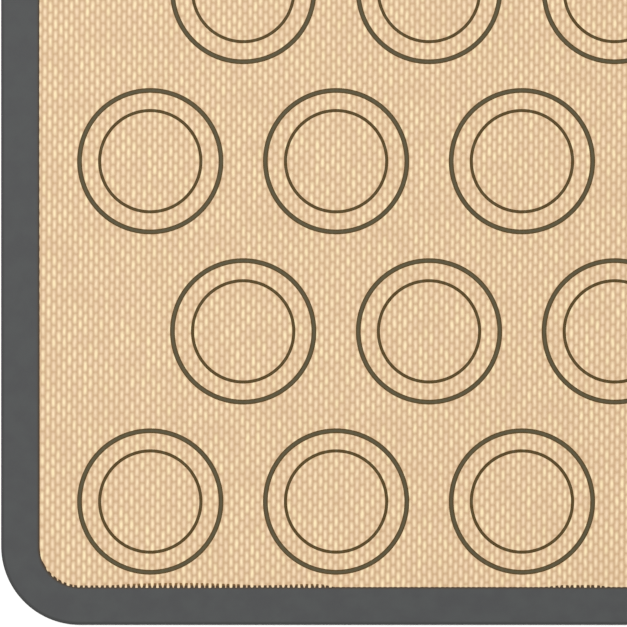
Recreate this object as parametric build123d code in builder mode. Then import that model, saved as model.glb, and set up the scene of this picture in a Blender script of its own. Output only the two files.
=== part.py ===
from build123d import *
import os

# A half-sheet silicone baking mat for macarons, lying flat: glass cloth coated with silicone on both
# faces, a dark silicone band moulded round its edge, and staggered pairs of rings printed on top.
# Millimetres, +X along the length, +Y away from the front edge, +Z up, origin under the middle.

# Outline of the whole mat
mat_length = 420.0
mat_depth = 295.0
mat_corner_radius = 25.0
least_corner_radius = 1.0

# Laminate: a woven glass cloth between two coats of silicone
cloth_thickness = 0.30
coat_thickness = 0.20

# Edge band: lips over both faces of the laminate, and a solid rim beyond its cut edge
band_width = 12.0
rim_width = 1.5
lip_thickness = 0.08
nose_run = 1.2
nose_drop = 0.25
nose_drop_limit_share = 0.45

# Piping guides: pairs of printed rings in staggered rows, spread over the window inside these margins
guide_rows = 5
guide_columns = 6
guide_stagger_share = 0.5
guide_side_margin = 12.2
guide_end_margin = 4.0
outer_ring_radius = 22.5
outer_ring_line = 1.5
ring_spacing = 6.4
inner_ring_line = 0.95
ink_thickness = 0.05

# Heights of the layers, from the surface that the mat lies on
bottom_coat_base = lip_thickness
cloth_base = bottom_coat_base + coat_thickness
top_coat_base = cloth_base + cloth_thickness
bake_face_height = top_coat_base + coat_thickness
laminate_thickness = bake_face_height - bottom_coat_base
mat_thickness = bake_face_height + lip_thickness

# Window in the band that leaves the woven panel bare
window_length = mat_length - 2 * band_width
window_depth = mat_depth - 2 * band_width

# Spans between the centres of the outermost guides, and the pitches that share them out
inner_ring_radius = outer_ring_radius - ring_spacing
guide_diameter = 2 * outer_ring_radius + outer_ring_line
columns_span = window_length - 2 * guide_side_margin - guide_diameter
rows_span = window_depth - 2 * guide_end_margin - guide_diameter
column_pitch = columns_span / (guide_columns - 1 + guide_stagger_share)
row_pitch = rows_span / (guide_rows - 1)
stagger = column_pitch * guide_stagger_share

os.makedirs("parts", exist_ok=True)


def inset_outline(inset):
    """The mat's outline moved inwards, its corners concentric with the mat's while they can be."""
    RectangleRounded(
        mat_length - 2 * inset,
        mat_depth - 2 * inset,
        max(mat_corner_radius - inset, least_corner_radius),
    )


# Glass cloth: the woven core that keeps the mat from stretching
with BuildPart() as glass_cloth:
    with BuildSketch(Plane.XY.offset(cloth_base)):
        inset_outline(rim_width)
    extrude(amount=cloth_thickness)
glass_cloth.part.label = "glass_cloth"
export_step(glass_cloth.part, "parts/glass_cloth.step")

# Bottom coat: silicone over the underside of the cloth, as far as its cut edge
with BuildPart() as bottom_coat:
    with BuildSketch(Plane.XY.offset(bottom_coat_base)):
        inset_outline(rim_width)
    extrude(amount=coat_thickness)
bottom_coat.part.label = "bottom_coat"
export_step(bottom_coat.part, "parts/bottom_coat.step")

# Top coat: silicone over the upper side of the cloth, the face that is baked on
with BuildPart() as top_coat:
    with BuildSketch(Plane.XY.offset(top_coat_base)):
        inset_outline(rim_width)
    extrude(amount=coat_thickness)
top_coat.part.label = "top_coat"
export_step(top_coat.part, "parts/top_coat.step")

# Edge band: one ring of silicone, U-shaped in section, that holds and seals the laminate's edge
with BuildPart() as edge_band:
    with BuildSketch():
        inset_outline(0)
    extrude(amount=mat_thickness)

    # Outer edge thinned to a blunt nose, above and below
    for broad_face in edge_band.faces().filter_by(Axis.Z):
        chamfer(
            broad_face.edges(),
            length=min(nose_run, rim_width),
            length2=min(nose_drop, mat_thickness * nose_drop_limit_share),
            reference=broad_face,
        )

    # Slot for the laminate's edge, between the two lips
    with BuildSketch(Plane.XY.offset(bottom_coat_base)):
        inset_outline(rim_width)
    extrude(amount=laminate_thickness, mode=Mode.SUBTRACT)

    # Window through both lips
    with BuildSketch():
        inset_outline(band_width)
    extrude(amount=mat_thickness, mode=Mode.SUBTRACT)
edge_band.part.label = "edge_band"
export_step(edge_band.part, "parts/edge_band.step")

# Piping guides: an outer and an inner ring of ink each, rows counted from the front edge
for row in range(guide_rows):
    for column in range(guide_columns):
        guide_x = -columns_span / 2 + column * column_pitch + stagger * (row % 2)
        guide_y = -rows_span / 2 + row * row_pitch
        with BuildPart() as piping_guide:
            with BuildSketch(Plane.XY.offset(bake_face_height)):
                with Locations((guide_x, guide_y)):
                    Circle(outer_ring_radius + outer_ring_line / 2)
                    Circle(outer_ring_radius - outer_ring_line / 2, mode=Mode.SUBTRACT)
                    Circle(inner_ring_radius + inner_ring_line / 2)
                    Circle(inner_ring_radius - inner_ring_line / 2, mode=Mode.SUBTRACT)
            extrude(amount=ink_thickness)
        piping_guide.part.label = f"piping_guide_row{row + 1}_col{column + 1}"
        export_step(piping_guide.part, f"parts/{piping_guide.part.label}.step")
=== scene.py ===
import math

import bmesh
import bpy
import numpy as np
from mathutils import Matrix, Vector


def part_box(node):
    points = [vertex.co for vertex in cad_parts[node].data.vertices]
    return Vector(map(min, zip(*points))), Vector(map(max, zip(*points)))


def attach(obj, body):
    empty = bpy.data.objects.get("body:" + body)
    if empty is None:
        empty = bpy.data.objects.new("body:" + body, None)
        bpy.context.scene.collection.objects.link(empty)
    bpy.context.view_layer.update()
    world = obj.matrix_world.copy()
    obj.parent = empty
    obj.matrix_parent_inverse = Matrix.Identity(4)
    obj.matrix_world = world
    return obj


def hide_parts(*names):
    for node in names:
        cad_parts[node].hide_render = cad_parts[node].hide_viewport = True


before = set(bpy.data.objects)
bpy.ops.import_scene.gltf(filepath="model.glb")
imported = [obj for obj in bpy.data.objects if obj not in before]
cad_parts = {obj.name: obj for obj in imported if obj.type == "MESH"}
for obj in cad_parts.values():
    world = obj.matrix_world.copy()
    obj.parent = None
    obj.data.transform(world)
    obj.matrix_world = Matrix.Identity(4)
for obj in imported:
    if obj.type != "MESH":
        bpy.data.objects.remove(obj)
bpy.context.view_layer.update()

# Camera
# The picture looks straight down on the front left quarter of the mat, which fills it but for a sliver of
# floor. Its scale comes from the mat's left and front edges, each one pixel or two inside the picture.
picture_side = 627
millimetres_per_pixel = 0.318
left_edge_pixel = 1.0
front_edge_pixel = 625.0
mat_length = 420.0
mat_depth = 295.0
mat_thickness = 0.86
MILLIMETRE = 0.001

view_x = -mat_length / 2 + (picture_side / 2 - left_edge_pixel) * millimetres_per_pixel
view_y = -mat_depth / 2 + (front_edge_pixel - picture_side / 2) * millimetres_per_pixel
camera = bpy.data.cameras.new("camera")
camera.lens = 100.0
camera.sensor_width = 36.0
view_distance = picture_side * millimetres_per_pixel * camera.lens / camera.sensor_width
camera_object = bpy.data.objects.new("camera", camera)
camera_object.location = (
    view_x * MILLIMETRE,
    view_y * MILLIMETRE,
    (mat_thickness + view_distance) * MILLIMETRE,
)
bpy.context.collection.objects.link(camera_object)
bpy.context.scene.camera = camera_object
bpy.context.scene.view_settings.view_transform = "Standard"

# Light and floor
# A white sky gives a little over half of the light, and one large soft lamp from the upper left the rest, so
# that a colour renders about as it is written. What the camera sees of the sky and floor is lifted to white.
sky_strength = 0.62
lamp_power = 90.0
lamp_size = 2.4
lamp_place = (-1.3, 1.3, 3.6)
floor_size = 6.0
floor_drop = 0.1
floor_lift = 0.3
black = (0.0, 0.0, 0.0, 1.0)
white = (1.0, 1.0, 1.0, 1.0)


class Wire:
    """A socket of a node tree. Arithmetic on wires adds Math nodes, and node() adds any other kind."""

    def __init__(self, tree, socket=None):
        self.tree = tree
        self.socket = socket

    def node(self, kind, settings, values, output=0):
        """Adds a node of that kind: first its settings, then the values or links of its sockets."""
        made = self.tree.nodes.new(kind)
        for name, value in settings.items():
            setattr(made, name, value)
        for name, value in values.items():
            if isinstance(value, Wire):
                self.tree.links.new(value.socket, made.inputs[name])
            else:
                made.inputs[name].default_value = value
        return Wire(self.tree, made.outputs[output] if made.outputs else None)

    def beside(self, output):
        """Another output of the node that this wire comes from."""
        return Wire(self.tree, self.socket.node.outputs[output])

    def split(self):
        """The three numbers of this vector or colour, each on a wire of its own."""
        first = self.node("ShaderNodeSeparateXYZ", {}, {"Vector": self})
        return first, first.beside("Y"), first.beside("Z")

    def math(self, operation, *values):
        """A Math node on this wire and the values after it."""
        return self.node("ShaderNodeMath", {"operation": operation}, dict(enumerate((self, *values))))

    def __add__(self, other):
        return self.math("ADD", other)

    def __mul__(self, other):
        return self.math("MULTIPLY", other)

    def __sub__(self, other):
        return self.math("SUBTRACT", other)

    def __rsub__(self, other):
        return self.math("MULTIPLY_ADD", -1.0, other)

    __radd__ = __add__
    __rmul__ = __mul__

    def ease(self, low, high):
        """0 below low and 1 above high, with a smooth step between; with high below low it falls."""
        settings = {"interpolation_type": "SMOOTHSTEP"}
        rise = self.node(
            "ShaderNodeMapRange",
            settings,
            {"Value": self, "From Min": min(low, high), "From Max": max(low, high)},
        )
        return rise if high > low else 1.0 - rise

    def blend(self, first, second):
        """The colour first where this wire is 0, and second where it is 1."""
        return self.node(
            "ShaderNodeMix", {"data_type": "RGBA"}, {"Factor": self, 6: first, 7: second}, output=2
        )


def paint(red, green, blue):
    """A colour given as a screen shows it, from 0 to 255, as the linear values that a socket takes.

    Each is divided by 255 and taken through the screen's own curve: a power of 2.4, and a straight line near
    black."""
    shown = np.array([red, green, blue]) / 255
    linear = np.where(shown > 0.04045, ((shown + 0.055) / 1.055) ** 2.4, shown / 12.92)
    return (*linear, 1.0)


def new_material(name):
    """An empty material, and a bare wire that nodes are added from."""
    material = bpy.data.materials.new(name)
    material.use_nodes = True
    material.node_tree.nodes.clear()
    return material, Wire(material.node_tree)


def surface(bare, values):
    """Ends a material in one Principled surface with those values or links."""
    shader = bare.node("ShaderNodeBsdfPrincipled", {}, values)
    bare.node("ShaderNodeOutputMaterial", {}, {"Surface": shader})


def seen_wire(bare):
    """1 where the camera looks, straight or by way of gloss or glass, and 0 for light going elsewhere."""
    straight = bare.node("ShaderNodeLightPath", {}, {})
    glossy = straight.math("MAXIMUM", straight.beside("Is Glossy Ray"))
    return glossy.math("MAXIMUM", straight.beside("Is Transmission Ray"))


world = bpy.data.worlds.new("sky")
bpy.context.scene.world = world
world.use_nodes = True
world.node_tree.nodes.clear()
sky = Wire(world.node_tree)
light = sky.node(
    "ShaderNodeBackground",
    {},
    {"Color": white, "Strength": sky_strength + seen_wire(sky) * (1.0 - sky_strength)},
)
sky.node("ShaderNodeOutputWorld", {}, {"Surface": light})

lamp = bpy.data.lights.new("lamp", "AREA")
lamp.energy = lamp_power
lamp.size = lamp_size
lamp_object = bpy.data.objects.new("lamp", lamp)
lamp_object.location = (
    view_x * MILLIMETRE + lamp_place[0],
    view_y * MILLIMETRE + lamp_place[1],
    lamp_place[2],
)
# Turned to shine at the middle of the picture
lamp_object.rotation_euler = (
    -math.atan2(math.hypot(*lamp_place[:2]), lamp_place[2]),
    0.0,
    math.atan2(-lamp_place[0], lamp_place[1]),
)
bpy.context.collection.objects.link(lamp_object)

floor_material, bare = new_material("pale floor")
surface(
    bare,
    {
        "Base Color": paint(235, 235, 233),
        "Roughness": 0.9,
        "Specular IOR Level": 0.0,
        "Emission Color": seen_wire(bare).blend(black, white),
        "Emission Strength": floor_lift,
    },
)
floor_mesh = bpy.data.meshes.new("floor")
reach = floor_size / 2
floor_corners = [(-reach, -reach), (reach, -reach), (reach, reach), (-reach, reach)]
floor_mesh.from_pydata([(x, y, -floor_drop * MILLIMETRE) for x, y in floor_corners], [], [(0, 1, 2, 3)])
floor_mesh.materials.append(floor_material)
floor = bpy.data.objects.new("floor", floor_mesh)
bpy.context.collection.objects.link(floor)

# Woven glass cloth
# The core that keeps the mat from stretching: a plain weave of glass yarns, cut 1.5 mm inside the mat's edge
# and soaked in silicone. Its yarns aren't quite square to the mat: the weft sways by 11 mm along it.
mat_corner_radius = 25.0
rim_width = 1.5
cloth_base = 0.28
cloth_top = 0.58
warp_at_middle = 126.192
warp_per_millimetre = 0.608505
warp_lean = -0.003677
warp_crowding = 3.2e-5
weft_at_middle = -32.970218
weft_per_millimetre = 0.532684
weft_sway = -5.807839
warp_span = (-2, 259)
weft_span = (-120, 55)
rounds_to_place = 8
edge_steps = 960
strip_least = 0.7
yarn_dip = 0.035
sharp_angle = math.radians(50.0)


def yarn_counts(x, y):
    """Warp and weft yarns counted up to a place in millimetres.

    The warp count is a plane that leans a little with y and grows a little faster with x. The weft count is
    a plane in y with half a sine wave along the mat's whole length."""
    warp = warp_at_middle + warp_per_millimetre * x + warp_lean * y + warp_crowding * x**2
    weft = weft_at_middle + weft_per_millimetre * y + weft_sway * np.sin(np.pi * x / mat_length)
    return warp, weft


def yarn_places(warp, weft):
    """The places where those counts are reached: each formula is worked back in turn until both hold."""
    x = (warp - warp_at_middle) / warp_per_millimetre
    for _ in range(rounds_to_place):
        y = (weft - weft_at_middle - weft_sway * np.sin(np.pi * x / mat_length)) / weft_per_millimetre
        x = (warp - warp_at_middle - warp_lean * y - warp_crowding * x**2) / warp_per_millimetre
    return x, y


def edge_path(steps):
    """A walk round the mat in even steps: points on the rectangle of its corners' centres, and directions
    outwards.

    A place at some inset is the point plus the direction times what is left of the corner's radius."""
    length = mat_length - 2 * mat_corner_radius
    depth = mat_depth - 2 * mat_corner_radius
    arc = mat_corner_radius * math.pi / 2
    runs = np.cumsum([0.0, length, arc, depth, arc, length, arc, depth, arc])
    far = np.array([-1.0, 1.0, 1.0, 1.0, 1.0, -1.0, -1.0, -1.0, -1.0])
    high = np.array([-1.0, -1.0, -1.0, 1.0, 1.0, 1.0, 1.0, -1.0, -1.0])
    turns = np.array([-1.0, -1.0, 0.0, 0.0, 1.0, 1.0, 2.0, 2.0, 3.0]) * math.pi / 2
    walked = np.arange(steps) / steps * runs[-1]
    angle = np.interp(walked, runs, turns)
    x = np.interp(walked, runs, far * length / 2)
    y = np.interp(walked, runs, high * depth / 2)
    return np.stack([x, y], 1), np.stack([np.cos(angle), np.sin(angle)], 1)


def inset_of(x, y):
    """How far inside the mat's outline a place is: the distance to a rectangle with round corners."""
    past_x = abs(x) - (mat_length / 2 - mat_corner_radius)
    past_y = abs(y) - (mat_depth / 2 - mat_corner_radius)
    outside = np.hypot(np.maximum(past_x, 0.0), np.maximum(past_y, 0.0))
    return mat_corner_radius - outside - np.minimum(np.maximum(past_x, past_y), 0.0)


def cut_edge(height):
    """The laminate's cut edge at that height, once round the mat: vertices and their yarn counts."""
    points, outwards = edge_path(edge_steps)
    edge = points + (mat_corner_radius - rim_width) * outwards
    return np.column_stack([edge, np.full(edge_steps, height)]), np.stack(yarn_counts(*edge.T), 1)


def strip_between(places, lines):
    """Triangles that fill the strip between closed loops of lines, all of them facing up."""
    used, ends = np.unique(lines, return_inverse=True)
    outline = bpy.data.meshes.new("strip")
    outline.from_pydata(places[used].tolist(), ends.reshape(-1, 2).tolist(), [])
    work = bmesh.new()
    work.from_mesh(outline)
    bmesh.ops.triangle_fill(work, use_beauty=True, edges=work.edges[:], normal=(0.0, 0.0, 1.0))
    work.to_mesh(outline)
    work.free()
    corners = np.empty(len(outline.loops), dtype=np.int32)
    outline.loops.foreach_get("vertex_index", corners)
    bpy.data.meshes.remove(outline)
    strip = used[corners.reshape(-1, 3)]
    one, two, three = (places[strip[:, corner], :2] for corner in range(3))
    turned = np.cross(two - one, three - one) < 0
    strip[turned] = strip[turned][:, ::-1]
    return strip


def woven_face(start, corner_height, centre_height, edge_height):
    """One face of the laminate, seen from above: vertices, their yarn counts, and blocks of faces.

    Corner vertices stand at each whole count of yarns plus start, both ways. With a centre height, each
    cell of four corners has a middle vertex too, and middles are joined along the warp. A plain strip
    joins the outermost cells to the cut edge, whose vertices come last. The heights are functions of the
    two counts."""
    warp, weft = np.meshgrid(np.arange(*warp_span) + start, np.arange(*weft_span) + start)
    x, y = yarn_places(warp, weft)
    inside = inset_of(x, y) > rim_width + strip_least
    kept = inside[:-1, :-1] & inside[:-1, 1:] & inside[1:, :-1] & inside[1:, 1:]
    number = np.arange(warp.size).reshape(warp.shape)
    cell = np.where(kept, warp.size + np.cumsum(kept).reshape(kept.shape) - 1, -1)
    here = (number[:-1, :-1], number[:-1, 1:], number[1:, 1:], number[1:, :-1])
    near_left, near_right, far_right, far_left = here
    padded = np.pad(kept, 1)
    alone = {
        "near": kept & ~padded[:-2, 1:-1],
        "right": kept & ~padded[1:-1, 2:],
        "far": kept & ~padded[2:, 1:-1],
        "left": kept & ~padded[1:-1, :-2],
    }
    sides = {
        "near": (near_left, near_right),
        "right": (near_right, far_right),
        "far": (far_right, far_left),
        "left": (far_left, near_left),
    }
    rim = np.concatenate(
        [np.stack([ends[0][alone[side]], ends[1][alone[side]]], 1) for side, ends in sides.items()]
    )
    counts = np.stack([warp.ravel(), weft.ravel()], 1)
    places = np.stack([x.ravel(), y.ravel(), corner_height(warp.ravel(), weft.ravel())], 1)
    if centre_height is None:
        blocks = [np.stack([part[kept] for part in here], 1)]
    else:
        centre_counts = np.stack([warp[:-1, :-1][kept], weft[:-1, :-1][kept]], 1) + 0.5
        centre_x, centre_y = yarn_places(*centre_counts.T)
        centres = np.stack([centre_x, centre_y, centre_height(*centre_counts.T)], 1)
        counts = np.concatenate([counts, centre_counts])
        places = np.concatenate([places, centres])
        pair = kept[:-1] & kept[1:]
        low, high = cell[:-1][pair], cell[1:][pair]
        fans = [
            (cell[kept], near_right[kept], far_right[kept]),
            (cell[kept], far_left[kept], near_left[kept]),
            (low, far_right[:-1][pair], high),
            (low, high, far_left[:-1][pair]),
            (cell[alone["far"]], far_right[alone["far"]], far_left[alone["far"]]),
            (cell[alone["near"]], near_left[alone["near"]], near_right[alone["near"]]),
        ]
        blocks = [np.concatenate([np.stack(fan, 1) for fan in fans])]
    edge, edge_counts = cut_edge(edge_height)
    loop = len(places) + np.arange(edge_steps)
    places = np.concatenate([places, edge])
    counts = np.concatenate([counts, edge_counts])
    lines = np.concatenate([rim, np.stack([loop, np.roll(loop, -1)], 1)])
    blocks.append(strip_between(places, lines))
    live = np.unique(np.concatenate([block.ravel() for block in blocks]))
    fresh = np.full(len(places), -1)
    fresh[live] = np.arange(len(live))
    return places[live], counts[live], [fresh[block] for block in blocks]


def mesh_piece(name, places, parts, material, attribute=None):
    """An object from vertices in millimetres and blocks of faces, each with the UV places of its corners."""
    corners = np.concatenate([faces.ravel() for faces, _ in parts])
    sizes = np.concatenate([np.full(len(faces), faces.shape[1]) for faces, _ in parts])
    mesh = bpy.data.meshes.new(name)
    mesh.vertices.add(len(places))
    mesh.vertices.foreach_set("co", (places * MILLIMETRE).ravel())
    mesh.loops.add(len(corners))
    mesh.loops.foreach_set("vertex_index", corners)
    mesh.polygons.add(len(sizes))
    mesh.polygons.foreach_set("loop_start", np.cumsum(sizes) - sizes)
    mesh.update(calc_edges=True)
    mesh.polygons.foreach_set("use_smooth", np.ones(len(sizes), dtype=bool))
    mesh.uv_layers.new(name="OFBake")
    mesh.uv_layers["OFBake"].data.foreach_set("uv", np.concatenate([uv.ravel() for _, uv in parts]))
    if attribute is not None:
        mesh.attributes.new("yarns", "FLOAT_VECTOR", "POINT")
        mesh.attributes["yarns"].data.foreach_set("vector", attribute.ravel())
    mesh.set_sharp_from_angle(angle=sharp_angle)
    mesh.materials.append(material)
    piece = bpy.data.objects.new(name, mesh)
    bpy.context.collection.objects.link(piece)
    return piece


yarns_per_tile = 32
tile_start = np.array([96, -16])
hidden_tiles = 20


def tile_places(counts, faces, shift=0):
    """UV places of face corners: yarn counts in tiles of 32 yarns, moved by whole tiles on hidden faces."""
    return ((counts - tile_start) / yarns_per_tile - shift)[faces]


def laminate_piece(name, upper, lower, material):
    """A closed layer of the laminate from its upper and lower faces, and a wall of quads round the cut edge.

    A face given as None is flat: it is the cut edge filled with one polygon, at the height given with it."""
    places, counts, parts = [], [], []
    total = 0
    rings = []
    for side, (face, height) in enumerate((upper, lower)):
        if face is None:
            there, counted = cut_edge(height)
            blocks = [np.arange(edge_steps)[None, :]]
            shift = hidden_tiles
        else:
            there, counted, blocks = face
            shift = 0
        for block in blocks:
            block = block if side == 0 else block[:, ::-1]
            parts.append((block + total, tile_places(counted, block, shift)))
        places.append(there)
        counts.append(counted)
        total += len(there)
        rings.append(np.arange(total - edge_steps, total))
    top, base = rings
    wall = np.stack([base, np.roll(base, -1), np.roll(top, -1), top], 1)
    parts.append((wall, tile_places(np.concatenate(counts), wall, hidden_tiles)))
    return mesh_piece(name, np.concatenate(places), parts, material)


def warp_is_up(warp, weft):
    """1 where the warp passes over the weft, at counts whose sum is even, and 0 where it passes under."""
    return 1 - (np.rint(warp) + np.rint(weft)) % 2


# The cloth's colour: paler where the warp is up, by the product of a cosine along each count
cloth_material, bare = new_material("glass cloth")
warp, weft, _ = bare.node("ShaderNodeUVMap", {"uv_map": "OFBake"}, {}).split()
along_warp = (warp * (yarns_per_tile * math.pi)).math("COSINE")
along_weft = (weft * (yarns_per_tile * math.pi)).math("COSINE")
over = (along_warp * along_weft).ease(-0.6, 0.6)
relief = bare.node("ShaderNodeBump", {}, {"Height": over, "Strength": 0.5, "Distance": 0.05 * MILLIMETRE})
surface(
    bare,
    {
        "Base Color": over.blend(paint(222, 214, 196), paint(238, 232, 218)),
        "Roughness": 0.6,
        "IOR": 1.5,
        "Normal": relief,
    },
)


def cloth_upper(warp, weft):
    """The cloth's upper face: full height where the warp is up, and a yarn's dip lower elsewhere."""
    return cloth_top - yarn_dip * (1 - warp_is_up(warp, weft))


def cloth_lower(warp, weft):
    """The cloth's lower face: lowest where the warp is up, and a yarn's dip higher elsewhere."""
    return cloth_base + yarn_dip * (1 - warp_is_up(warp, weft))


cloth = laminate_piece(
    "woven_glass_cloth",
    (woven_face(0.0, cloth_upper, None, cloth_top), None),
    (woven_face(0.0, cloth_lower, None, cloth_base), None),
    cloth_material,
)
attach(cloth, "root")
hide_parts("glass_cloth")

# Silicone coats
# Beige silicone over both faces of the cloth, the upper one baked on and the lower one gripping the pan. It
# is knife-coated thin, so yarns stand through it: pale where warp lies near the surface, and tan between.
# That colour also holds painted highlight on the warp crowns and painted shade in the tan gaps.
coat_faces = {
    "top": {"crown": 0.78, "saddle": 0.745, "groove": 0.69, "inner": 0.58},
    "bottom": {"crown": 0.08, "saddle": 0.115, "groove": 0.17, "inner": 0.28},
}
warp_wander = 0.3
weft_wander = 0.5
crown_fullness = 0.6
crossing_paleness = 0.15
least_paleness = 0.82
chance_of_paler = 0.34
cloud_strength = 0.15


def weave_wires(bare, warp, weft):
    """The weave at a place, from its counts: how near the middle of its warp yarn, how near the middle of a
    stretch where that yarn is up, and two numbers drawn by chance for the stretch.

    Both nearnesses are raised cosines, 1 at the middle and 0 half a yarn or a whole weft yarn away. The
    chances are from 0 to 1 and repeat every tile."""
    column = (warp + 0.5).math("FLOOR")
    ridge = 0.5 + 0.5 * (warp * (2 * math.pi)).math("COSINE")
    rise = 0.5 + 0.5 * ((weft - column) * math.pi).math("COSINE")
    stretch = column + 2.0 * ((weft - column) * 0.5 + 0.5).math("FLOOR")
    named = bare.node(
        "ShaderNodeCombineXYZ",
        {},
        {
            "X": column.math("FLOORED_MODULO", yarns_per_tile),
            "Y": stretch.math("FLOORED_MODULO", yarns_per_tile),
        },
    )
    chance = bare.node("ShaderNodeTexWhiteNoise", {"noise_dimensions": "2D"}, {"Vector": named})
    tint, _, _ = chance.beside("Color").split()
    return ridge, rise, chance, tint


def tile_noise(bare, warp, weft, grain, detail):
    """Noise that repeats every tile: the counts go round two circles, whose sines and cosines feed it."""
    turns = 2 * math.pi / yarns_per_tile
    angles = (warp * turns, weft * turns)
    circle = bare.node(
        "ShaderNodeCombineXYZ",
        {},
        {"X": angles[0].math("COSINE"), "Y": angles[0].math("SINE"), "Z": angles[1].math("COSINE")},
    )
    settings = {"noise_dimensions": "4D"}
    values = {"Vector": circle, "W": angles[1].math("SINE"), "Scale": grain, "Detail": detail}
    return bare.node("ShaderNodeTexNoise", settings, values)


# The coats' colour: pale along the middle of each stretch of warp, by an amount drawn for that stretch, tan
# between and a little darker where the weft crosses, with a faint cloudiness. The yarns wander by noise. The
# pale is partly the yarn showing through and partly painted highlight; the tan and the darker crossings are
# partly painted shade.
coat_material, bare = new_material("beige silicone")
warp, weft, _ = bare.node("ShaderNodeUVMap", {"uv_map": "OFBake"}, {}).split()
warp = warp * yarns_per_tile
weft = weft * yarns_per_tile
across, along, _ = tile_noise(bare, warp, weft, 4.0, 1.0).beside("Color").split()
ridge, rise, chance, tint = weave_wires(
    bare, warp + warp_wander * (across - 0.5), weft + weft_wander * (along - 0.5)
)
cloudy = tile_noise(bare, warp, weft, 1.2, 2.0)
grain = tile_noise(bare, warp, weft, 30.0, 2.0)
stretch = rise.math("POWER", crown_fullness)
# Partly painted highlight: the paleness along each stretch of warp
pale = ridge * (crossing_paleness + (1 - crossing_paleness) * stretch)
crossing = rise.ease(0.3, 0.0)
# Partly painted shade: the tan body, darker still where the weft crosses
body = crossing.blend(paint(207, 174, 136), paint(200, 165, 126))
crown = tint.blend(paint(252, 225, 190), paint(250, 229, 184))
colour = (pale * (least_paleness + chance_of_paler * chance)).blend(body, crown)
colour = (cloud_strength * cloudy.ease(0.35, 0.65)).blend(colour, paint(206, 173, 130))
height = 0.7 * ridge * stretch + 0.3 * ridge + 0.06 * grain
relief = bare.node("ShaderNodeBump", {}, {"Height": height, "Strength": 0.5, "Distance": 0.05 * MILLIMETRE})
surface(
    bare,
    {
        "Base Color": colour,
        "Roughness": 0.6 + 0.1 * grain,
        "IOR": 1.41,
        "Normal": relief,
    },
)


def ridged(sizes):
    """Heights at the corners and at the middles of the cells of a coat's woven face, as functions of counts.

    Corners all lie in the groove; a middle is a crown where the warp is up, and a saddle elsewhere."""

    def corner_height(warp, weft):
        return np.full(np.shape(warp), sizes["groove"])

    def centre_height(warp, weft):
        return np.where(warp_is_up(warp, weft) == 1, sizes["crown"], sizes["saddle"])

    return corner_height, centre_height


top_sizes = coat_faces["top"]
bottom_sizes = coat_faces["bottom"]
top_coat = laminate_piece(
    "textured_top_coat",
    (woven_face(0.5, *ridged(top_sizes), top_sizes["saddle"]), None),
    (None, top_sizes["inner"]),
    coat_material,
)
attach(top_coat, "root")
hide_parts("top_coat")
bottom_coat = laminate_piece(
    "textured_bottom_coat",
    (None, bottom_sizes["inner"]),
    (woven_face(0.5, *ridged(bottom_sizes), bottom_sizes["saddle"]), None),
    coat_material,
)
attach(bottom_coat, "root")
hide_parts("bottom_coat")

# Moulded edge band
# Dark grey silicone moulded round the laminate in one ring, with a lip over each face and a solid rim past
# the cut edge. Its outer edge is a blunt nose, and its lips end in a feather that has run in between yarns.
band_width = 12.0
nose_run = 1.2
nose_drop = 0.25
lip_thickness = 0.08
flat_end = 11.2
left_lip_wider = 0.19
band_rows = 8
row_margin = 0.04
hidden_share = 0.1

# Half of the band's profile, from the nose over the top to the slot: insets and heights
nose_turns = np.linspace(0.0, math.pi / 2, 7)
nose = [(nose_run * (1 - math.cos(t)), mat_thickness - nose_drop * (1 - math.sin(t))) for t in nose_turns]
flats = [(inset, mat_thickness) for inset in (2.4, 4.0, 6.0, 8.0, 10.0, flat_end)]
lip_edge = [(11.56, 0.85), (11.8, 0.825), (11.95, 0.79), (12.02, 0.735), (12.06, 0.725), (12.08, 0.68)]
slot_height = mat_thickness - lip_thickness
under = [(11.9, 0.67), (flat_end, slot_height), (rim_width, slot_height)]

# How far the lip's feather has run in at places along the front side from left to right, and along the back
# the other way round, and what share of that each point of the lip's edge moves
flash_at = [-192, -186, -179, -174, -169, -158, -147, -135, -129, -121, -112, -108, -104]
flash_at += [-37, -32, -21, -16, 9, 24, 52, 70, 118, 131, 152, 176, 192]
flash_run = [0.6, 0.5, 0.5, 0.6, 1.0, 1.25, 1.25, 0.9, 0.5, 0.65, 1.0, 0.9, 0.0]
flash_run += [0.0, 0.6, 0.65, 0.0, 0.0, 0.6, 0.6, 0.2, 0.0, 0.5, 0.8, 1.0, 0.9]
flash_share = [0.0, -0.12, -0.18, -0.14, 1.0, 1.05]


def swept_ring(points, outwards, radius, profile, rows, first_row, all_rows, hidden):
    """A closed profile carried round a closed path: vertices, quads, and UV places in rows of even length.

    A place is the path's point, plus its direction outwards times what the profile's first number leaves of
    the radius, at the height of its second; the profile may differ at each step. It runs inwards over the
    top and back below, which turns the quads' faces outwards. The path is cut into rows, laid one above the
    other in the UV square, where quads that start at hidden points get a tenth of their width."""
    steps, sides = len(points), profile.shape[-2]
    profiles = np.broadcast_to(profile, (steps, sides, 2))
    flat = points[:, None, :] + outwards[:, None, :] * (radius - profiles[:, :, :1])
    places = np.concatenate([flat, profiles[:, :, 1:]], 2)
    profile = profiles.mean(0)
    step, side = np.meshgrid(np.arange(steps), np.arange(sides), indexing="ij")
    along = np.stack([step + 1, step + 1, step, step], 2)
    round_it = np.stack([side, side + 1, side + 1, side], 2)
    quads = (along % steps) * sides + round_it % sides
    widths = np.hypot(*np.diff(profile, axis=0, append=profile[:1]).T)
    girth = np.concatenate([[0.0], np.cumsum(widths * np.where(hidden, hidden_share, 1.0))])
    per_row = steps // rows
    row = step // per_row
    across = (along - (row * per_row)[..., None]) / per_row
    within = row_margin + (1 - 2 * row_margin) * girth[round_it] / girth[-1]
    up = (first_row + row[..., None] + within) / all_rows
    return places.reshape(-1, 3), quads.reshape(-1, 4), np.stack([across, up], 3).reshape(-1, 4, 2)
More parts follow.
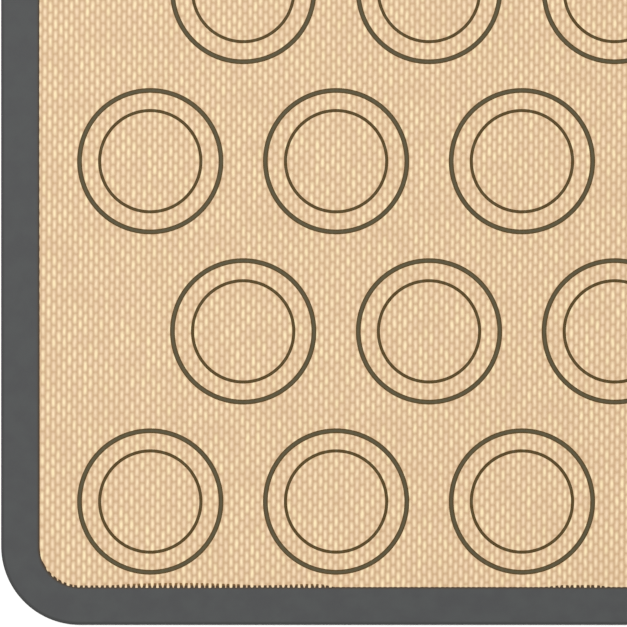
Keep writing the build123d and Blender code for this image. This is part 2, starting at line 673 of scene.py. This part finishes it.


# The band's colour: painted shade darkens it round the nose and most along its outer rim, where the rounded
# edge turns from the light, and it turns brown where the lip thins out over the beige coat
band_material, bare = new_material("grey silicone")
place = bare.node("ShaderNodeAttribute", {"attribute_name": "yarns"}, {}, output=1)
warp, weft, inset = place.split()
spot = bare.node("ShaderNodeTexCoord", {}, {}, output=3)
mottle = bare.node("ShaderNodeTexNoise", {}, {"Vector": spot, "Scale": 160.0, "Detail": 3.0})
fine = bare.node("ShaderNodeTexNoise", {}, {"Vector": spot, "Scale": 2600.0, "Detail": 2.0})
through = (warp * math.pi).math("COSINE") * (weft * math.pi).math("COSINE")
laminate_below = inset.ease(1.6, 3.0)
colour = mottle.ease(0.3, 0.7).blend(paint(66, 67, 68), paint(71, 73, 73))
# Painted shade: darker over the rounded nose, and darkest along its outermost rim
colour = inset.ease(1.25, 0.7).blend(colour, paint(56, 57, 57))
colour = inset.ease(0.35, 0.1).blend(colour, paint(30, 30, 31))
colour = inset.ease(11.1, 12.1).blend(colour, paint(58, 39, 8))
colour = inset.ease(12.1, 13.1).blend(colour, paint(124, 88, 38))
height = 0.5 * through * laminate_below + 0.25 * fine
relief = bare.node("ShaderNodeBump", {}, {"Height": height, "Strength": 0.5, "Distance": 0.03 * MILLIMETRE})
surface(
    bare,
    {
        "Base Color": colour,
        "Roughness": 0.6 + 0.12 * mottle,
        "IOR": 1.41,
        "Normal": relief,
    },
)

# The whole profile is the upper half and the same mirrored below, with both lips' edges moved step by step
upper_half = nose + flats + lip_edge + under
lower_half = [(inset, mat_thickness - height) for inset, height in reversed(upper_half)]
profile = np.array(upper_half + lower_half)
lip_points = len(nose + flats)
slot_points = len(nose + flats + lip_edge)
hidden = np.zeros(len(profile), dtype=bool)
hidden[slot_points : len(profile) - slot_points - 1] = True
moved = np.zeros(len(profile))
moved[lip_points : slot_points + 1] = 1.0
moved += moved[::-1]
flashed = np.zeros(len(profile))
flashed[lip_points:slot_points] = flash_share
flashed += flashed[::-1]
points, outwards = edge_path(edge_steps)
window_side = points + outwards * (mat_corner_radius - band_width)
along_side = window_side[:, 0] * np.where(outwards[:, 1] < 0, 1.0, -1.0)
flash = np.interp(along_side, flash_at, flash_run) * outwards[:, 1] ** 2
lip_shift = left_lip_wider * np.maximum(-outwards[:, 0], 0.0)
profiles = np.broadcast_to(profile, (edge_steps, *profile.shape)).copy()
profiles[:, :, 0] += flash[:, None] * flashed
insets = profiles[:, :, 0].flatten()
profiles[:, :, 0] += lip_shift[:, None] * moved
places, quads, uv = swept_ring(
    points, outwards, mat_corner_radius, profiles, band_rows, 0, band_rows, hidden
)
band_counts = np.column_stack([*yarn_counts(*places[:, :2].T), insets])
band = mesh_piece("moulded_edge_band", places, [(quads, uv)], band_material, band_counts)
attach(band, "root")
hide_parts("edge_band")

# Piping guides
# Thirty pairs of rings that show where to pipe, the outer line bolder than the inner. They are printed
# through a screen in dark silicone ink on the cured top coat, whose yarns they follow up and down, and
# cured in their turn.
outer_radius = 22.5
outer_line = 1.56
outer_steps = 360
inner_radius = 16.1
inner_line = 1.02
inner_steps = 256
ink_thickness = 0.05
ink_side = [(1.0, -0.02), (0.97, 0.03), (0.6, 0.046)]
ink_base = [(-0.5, -0.03), (0.5, -0.03)]
guide_rows = 5
guide_columns = 6
ring_rows = 8
least_divisor = 1e-6


def coat_height(x, y):
    """The top coat's height at a place, as its triangles give it.

    Along the middle of a warp yarn it runs straight between the heights at the crossings; from there it
    falls straight to the groove on each side, and a crossing's own height fans out towards the groove."""
    warp, weft = yarn_counts(x, y)
    column = np.rint(warp)
    to_groove = 2 * abs(warp - column)
    row = np.floor(weft)
    share = np.clip((weft - row - to_groove / 2) / np.maximum(1 - to_groove, least_divisor), 0.0, 1.0)
    low = np.where((column + row) % 2 == 0, top_sizes["crown"], top_sizes["saddle"])
    high = top_sizes["crown"] + top_sizes["saddle"] - low
    ridge = low + (high - low) * share
    return ridge + (top_sizes["groove"] - ridge) * to_groove


# The ink's colour: browner where it is thin, at the edges and on the fine line, and paler on the crowns
ink_material, bare = new_material("guide ink")
place = bare.node("ShaderNodeAttribute", {"attribute_name": "yarns"}, {}, output=1)
warp, weft, thinness = place.split()
ridge, rise, chance, _ = weave_wires(bare, warp, weft)
crown = ridge * rise.math("POWER", crown_fullness)
colour = thinness.ease(0.2, 0.9).blend(paint(85, 78, 56), paint(79, 56, 2))
colour = (crown * (0.25 + 0.35 * chance)).blend(colour, paint(98, 89, 63))
relief = bare.node("ShaderNodeBump", {}, {"Height": crown, "Strength": 0.4, "Distance": 0.04 * MILLIMETRE})
surface(
    bare,
    {
        "Base Color": colour,
        "Roughness": 0.6 + 0.1 * chance,
        "IOR": 1.41,
        "Specular IOR Level": 0.25,
        "Normal": relief,
    },
)

# The ink's profile: shares of half the line's width, from the outer edge over the top to the inner and
# back below, and heights above the coat
ink_top = [*ink_side, (0.0, ink_thickness), *((-part, height) for part, height in reversed(ink_side))]
ink_shape = np.array(ink_top + ink_base)
ink_hidden = np.arange(len(ink_shape)) >= len(ink_top) - 1


def ink_ring(middle, radius, line, steps, first_row):
    """One printed ring: a low rounded profile carried round a circle, lifted onto the coat that it lies on.

    The third count is how thin the ink is: 1 at an edge, 0 along the middle of the bold line, and between
    the two along the middle of a fine one, by the square of its width's share of the bold line's."""
    turn = np.arange(steps) / steps * 2 * math.pi
    outwards = np.stack([np.cos(turn), np.sin(turn)], 1)
    points = np.broadcast_to(middle, (steps, 2))
    profile = ink_shape * (-line / 2, 1.0)
    places, quads, uv = swept_ring(
        points, outwards, radius, profile, ring_rows, first_row, 2 * ring_rows, ink_hidden
    )
    thinness = 1 - (1 - abs(np.tile(ink_shape[:, 0], steps))) * (line / outer_line) ** 2
    counts = np.column_stack([*yarn_counts(*places[:, :2].T), thinness])
    places[:, 2] += coat_height(*places[:, :2].T)
    return places, quads, uv, counts


for row in range(1, guide_rows + 1):
    for column in range(1, guide_columns + 1):
        node = f"piping_guide_row{row}_col{column}"
        low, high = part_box(node)
        middle = np.array([(low[0] + high[0]) / 2, (low[1] + high[1]) / 2]) / MILLIMETRE
        outer = ink_ring(middle, outer_radius, outer_line, outer_steps, 0)
        inner = ink_ring(middle, inner_radius, inner_line, inner_steps, ring_rows)
        places, quads, uv, counts = (np.concatenate(pair) for pair in zip(outer, inner))
        quads[len(outer[1]) :] += len(outer[0])
        name = f"printed_guide_row{row}_col{column}"
        guide = mesh_piece(name, places, [(quads, uv)], ink_material, counts)
        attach(guide, "root")
        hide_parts(node)
